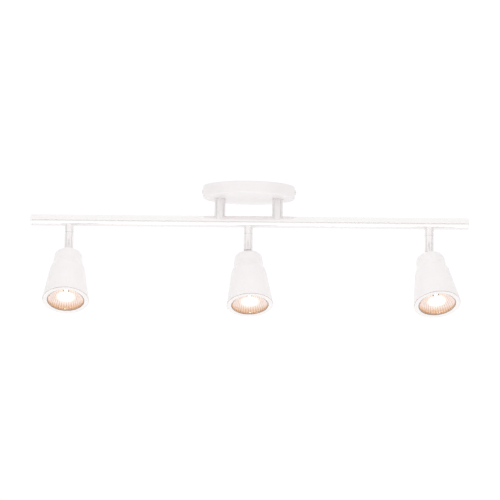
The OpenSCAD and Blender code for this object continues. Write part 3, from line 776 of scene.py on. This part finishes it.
def make_capsule(head, matrix):
    """The quartz burner with its tip, its flat pinch and a coiled filament."""
    _, tip, top = local_extent(f"{head}_bulb_capsule", matrix)
    body = f"{head}_lamp"
    bulb_r = 4.2 * MM
    shoulder_h = 27.0 * MM
    outline = [(0.0, tip)] + arc((0.7 * MM, tip + 1.0 * MM), (0.5 * MM, 0.9 * MM), -60, 0, 4)
    outline += arc((0, tip + bulb_r + 0.6 * MM), bulb_r, -75, 0, 10)
    outline += [(bulb_r, shoulder_h - 2.5 * MM)]
    outline += arc((bulb_r - 1.6 * MM, shoulder_h - 2.5 * MM), (1.6 * MM, 3.0 * MM), 0, 90, 6)
    outline += [(0.0, shoulder_h + 0.5 * MM)]
    obj = revolve(f"{head}_quartz_capsule", outline, matrix, 64, closed=False)
    add_piece(obj, body, QUARTZ, [f"{head}_bulb_capsule"])

    half_w, half_t = 3.2 * MM, 1.4 * MM
    verts, faces = [], []
    profile = [(1.0, 1.0, shoulder_h - 0.5 * MM), (1.0, 0.7, shoulder_h + 2 * MM),
               (1.0, 0.55, shoulder_h + 5 * MM), (0.97, 0.55, top - 1 * MM), (0.9, 0.45, top)]
    for wide, thick, h in profile:
        w, t = half_w * wide, half_t * thick
        verts += [(-w, -t, h), (w, -t, h), (w, t, h), (-w, t, h)]
    for i in range(len(profile) - 1):
        for k in range(4):
            n = (k + 1) % 4
            faces.append((4 * i + k, 4 * i + n, 4 * i + 4 + n, 4 * i + 4 + k))
    faces += [(3, 2, 1, 0), tuple(range(len(verts) - 4, len(verts)))]
    obj = new_object(f"{head}_quartz_pinch", verts, faces, matrix, smooth=False)
    bevel(obj, 0.4 * MM, 3)
    add_piece(obj, body, QUARTZ)

    turns, samples = 9, 14
    coil_r, coil_low, coil_high = 1.1 * MM, tip + 4.5 * MM, tip + 10.0 * MM
    path = []
    for k in range(turns * samples + 1):
        t = k / (turns * samples)
        angle = 2 * math.pi * turns * t
        path.append((coil_r * math.cos(angle), coil_r * math.sin(angle),
                     coil_low + (coil_high - coil_low) * t))
    path.append((0.9 * MM, 0.3 * MM, coil_high + 1.5 * MM))
    path.append((1.3 * MM, 0.0, shoulder_h + 1.5 * MM))
    obj = sweep(f"{head}_filament", path, 0.16 * MM, matrix, 6)
    add_piece(obj, body, FILAMENT)


for head in HEADS:
    local = head_matrix(head)
    make_shade(head, local)
    lamp = make_reflector(head, local)
    make_bezel(head, local, lamp)
    make_cover(head, local)
    make_capsule(head, local)


# ---------------------------------------------------------------- light, floor and camera

def plane(name, size, matrix, material):
    """A flat sheet of a single face."""
    half_x, half_y = size[0] / 2, size[1] / 2
    verts = [(-half_x, -half_y, 0), (half_x, -half_y, 0), (half_x, half_y, 0), (-half_x, half_y, 0)]
    obj = new_object(name, verts, [(0, 1, 2, 3)], matrix, smooth=False)
    obj.data.materials.append(material)
    return obj


def make_world(strength):
    world = bpy.data.worlds.new("white_studio")
    world.use_nodes = True
    background = world.node_tree.nodes["Background"]
    background.inputs["Color"].default_value = (1, 1, 1, 1)
    background.inputs["Strength"].default_value = strength
    bpy.context.scene.world = world


def make_floor():
    """A pale floor a room's height below the ceiling."""
    material, tree, shader = node_material("pale_floor")
    tone = object_noise(tree, 6, 3)
    tree.links.new(ramp(tree, tone, [(0.3, 0.93), (0.7, 0.96)]), shader.inputs["Base Color"])
    shader.inputs["Roughness"].default_value = 0.9
    plane("floor", (9, 9), Matrix.Translation((0, 0, -2.5)), material)


def make_flag(name, size, place, aim, grey):
    """A dark card that only shades and reflects: the camera doesn't see it."""
    material, tree, shader = node_material(name)
    shader.inputs["Base Color"].default_value = (grey, grey, grey, 1)
    shader.inputs["Roughness"].default_value = 1.0
    turn = (Vector(aim) - Vector(place)).to_track_quat("Z", "Y").to_matrix().to_4x4()
    obj = plane(name, size, Matrix.Translation(place) @ turn, material)
    obj.visible_camera = False


def make_area_light(name, place, aim, size, power, colour=(1, 1, 1)):
    data = bpy.data.lights.new(name, "AREA")
    data.shape = "RECTANGLE"
    data.size, data.size_y = size
    data.energy = power
    data.color = colour
    obj = bpy.data.objects.new(name, data)
    obj.matrix_world = Matrix.Translation(place) @ (
        Vector(aim) - Vector(place)).to_track_quat("-Z", "Y").to_matrix().to_4x4()
    bpy.context.scene.collection.objects.link(obj)


def make_camera():
    back = Vector((math.sin(CAMERA_TURN) * math.cos(CAMERA_BELOW),
                   -math.cos(CAMERA_TURN) * math.cos(CAMERA_BELOW), -math.sin(CAMERA_BELOW)))
    right = (-back).cross(Vector((0, 0, 1))).normalized()
    up = right.cross(-back)
    rolled_right = right * math.cos(CAMERA_ROLL) + up * math.sin(CAMERA_ROLL)
    rolled_up = up * math.cos(CAMERA_ROLL) - right * math.sin(CAMERA_ROLL)
    data = bpy.data.cameras.new("camera")
    data.lens = CAMERA_LENS
    data.sensor_width = SENSOR
    data.clip_start, data.clip_end = 0.05, 50
    obj = bpy.data.objects.new("camera", data)
    obj.matrix_world = Matrix.Translation(AIM_POINT + back * CAMERA_DISTANCE) @ Matrix(
        (rolled_right, rolled_up, back)).transposed().to_4x4()
    bpy.context.scene.collection.objects.link(obj)
    bpy.context.scene.camera = obj


make_world(1.04)
make_floor()
make_flag("flag_left", (0.55, 1.0), (-1.3, -0.35, -0.15), (0, 0, -0.1), 0.2)
make_flag("flag_right", (0.55, 1.0), (1.3, -0.35, -0.15), (0, 0, -0.1), 0.2)
make_flag("flag_front", (1.6, 0.23), (0.0, -2.3, -0.215), (0, 0, -0.09), 0.02)
make_area_light("low_fill", (0, -1.0, -2.3), (0, 0, -0.08), (3.0, 3.0), 14.5)
make_camera()

scene = bpy.context.scene
scene.view_settings.view_transform = "Standard"
scene.view_settings.look = "None"
